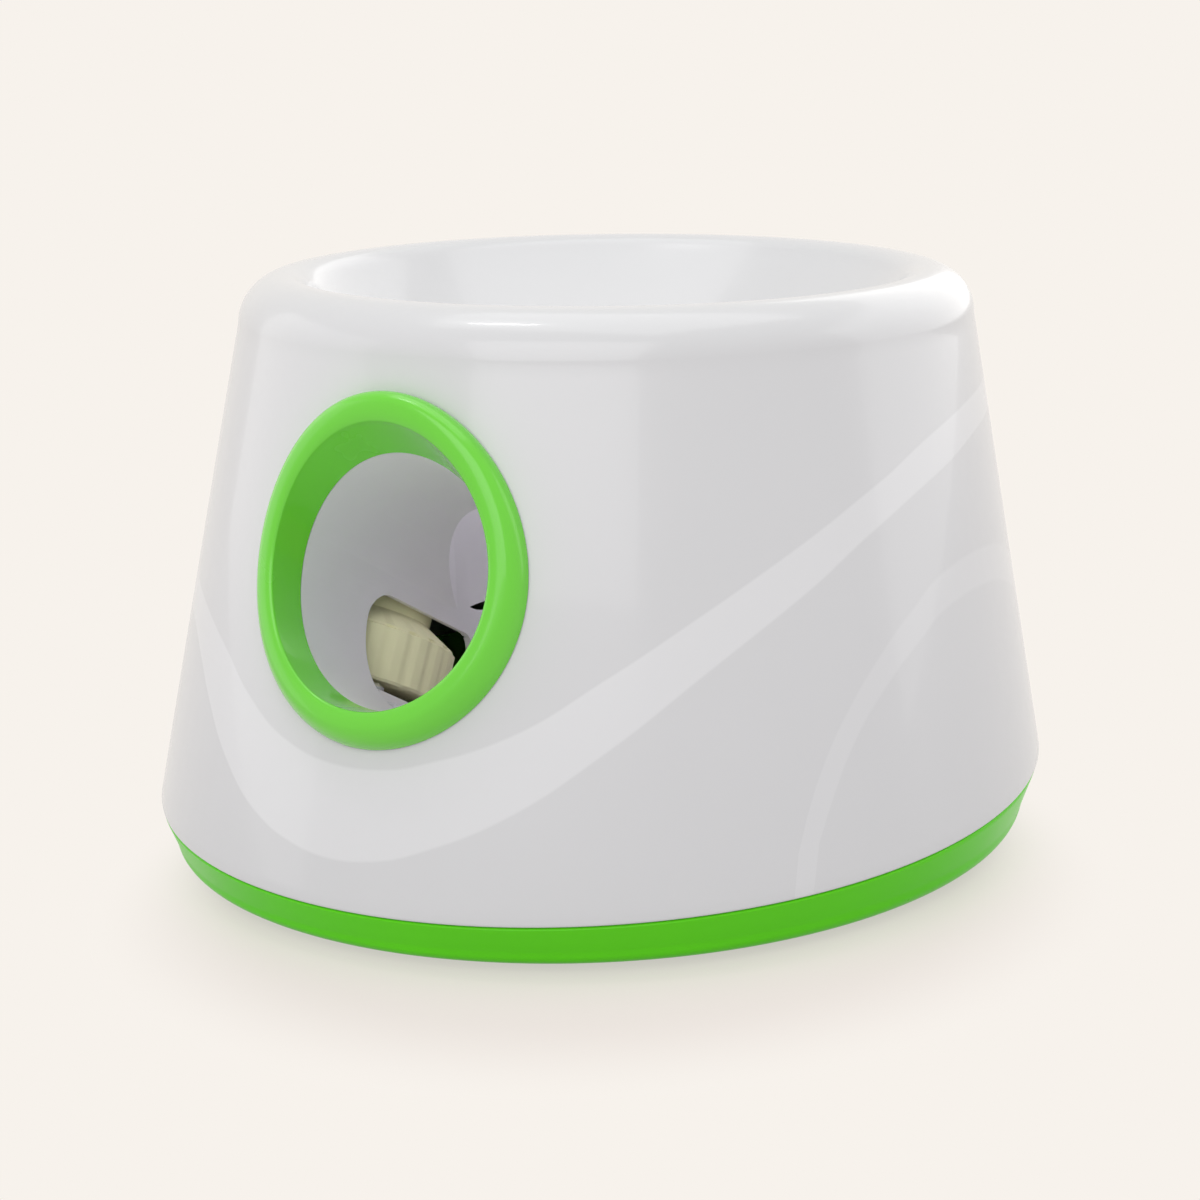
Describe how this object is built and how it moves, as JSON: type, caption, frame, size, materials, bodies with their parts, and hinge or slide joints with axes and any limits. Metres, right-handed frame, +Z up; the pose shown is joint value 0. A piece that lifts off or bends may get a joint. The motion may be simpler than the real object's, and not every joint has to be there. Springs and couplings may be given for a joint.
{
  "type": "automatic dog ball launcher",
  "caption": "Round leaning housing with a ball dish on top, a slanted barrel with ribbed launch wheels and a geared ball feeder.",
  "frame": {"origin": "on the floor under the middle of the widest circle", "axes": "+Z up, -Y towards the front, where the port faces, +X to the right of someone who looks along +Y at the port"},
  "size_m": [0.2814, 0.2822, 0.1818],
  "materials": {
    "shell": "gloss",
    "base": "satin",
    "ring": "gloss",
    "barrel": "satin",
    "tread": "matt",
    "nylon": "satin",
    "dark": "matt",
    "lens": "gloss",
    "board": "satin",
    "brass": "satin",
    "cell": "satin",
    "rubber": "matt",
    "steel": "satin"
  },
  "bodies": {
    "housing": {"upper_housing": "shell", "ball_dish": "shell", "base_pan": "base", "port_ring": "ring", "launch_barrel": "barrel", "left_motor_mount": "barrel", "left_ball_sensor": "dark", "left_motor": "steel", "left_mount_screw_front": "steel", "left_mount_screw_rear": "steel", "right_motor_mount": "barrel", "right_ball_sensor": "dark", "right_motor": "steel", "right_mount_screw_front": "steel", "right_mount_screw_rear": "steel", "pusher_guide": "barrel", "feed_shaft": "steel", "feeder_motor": "steel", "feeder_plate_left": "barrel", "feeder_plate_right": "barrel", "tact_switch": "dark", "control_board": "board", "buzzer": "dark", "range_light_1": "lens", "range_light_2": "lens", "range_light_3": "lens", "power_jack": "dark", "battery_door": "base", "battery_door_screw": "steel", "battery_contact_front": "steel", "battery_contact_rear": "steel", "battery_cell_1": "cell", "battery_cell_2": "cell", "battery_cell_3": "cell", "battery_cell_4": "cell", "rubber_foot_1": "rubber", "rubber_foot_2": "rubber", "rubber_foot_3": "rubber", "rubber_foot_4": "rubber", "housing_screw_1": "steel", "housing_screw_2": "steel", "housing_screw_3": "steel", "housing_screw_4": "steel"},
    "left_wheel": {"left_wheel_tyre": "tread", "left_wheel_hub": "dark", "left_motor_shaft": "steel"},
    "right_wheel": {"right_wheel_tyre": "tread", "right_wheel_hub": "dark", "right_motor_shaft": "steel"},
    "pusher": {"feed_pusher": "nylon"},
    "gear": {"feed_gear": "nylon"},
    "pinion": {"feeder_pinion": "brass"},
    "button": {"power_button": "ring"}
  },
  "joints": [
    {"name": "left_wheel_spin", "type": "hinge", "parent": "housing", "child": "left_wheel", "pos_m": [-0.066, -0.04485, 0.0683], "axis": [0, 0.5, 0.866], "continuous": true},
    {"name": "right_wheel_spin", "type": "hinge", "parent": "housing", "child": "right_wheel", "pos_m": [0.066, -0.04485, 0.0683], "axis": [0, 0.5, 0.866], "continuous": true},
    {"name": "feed_gear_turn", "type": "hinge", "parent": "housing", "child": "gear", "pos_m": [0, 0.0366, 0.03537], "axis": [-1, 0, 0], "range_deg": [0, 127]},
    {"name": "pusher_slide", "type": "slide", "parent": "housing", "child": "pusher", "axis": [0, -0.866, 0.5], "range_m": [0, 0.02]},
    {"name": "feeder_pinion_spin", "type": "hinge", "parent": "housing", "child": "pinion", "pos_m": [0, 0.04997, 0.04741], "axis": [-1, 0, 0], "range_deg": [-255, 0]},
    {"name": "power_button_press", "type": "slide", "parent": "housing", "child": "button", "axis": [0, -0.9976, -0.0694], "range_m": [0, 0.0012], "stiffness_N_per_m": 400, "springref_m": -0.001}
  ],
  "couplings": [
    {"joint": "pusher_slide", "follows": "feed_gear_turn", "m_per_rad": 0.009},
    {"joint": "feeder_pinion_spin", "follows": "feed_gear_turn", "ratio": -2}
  ]
}
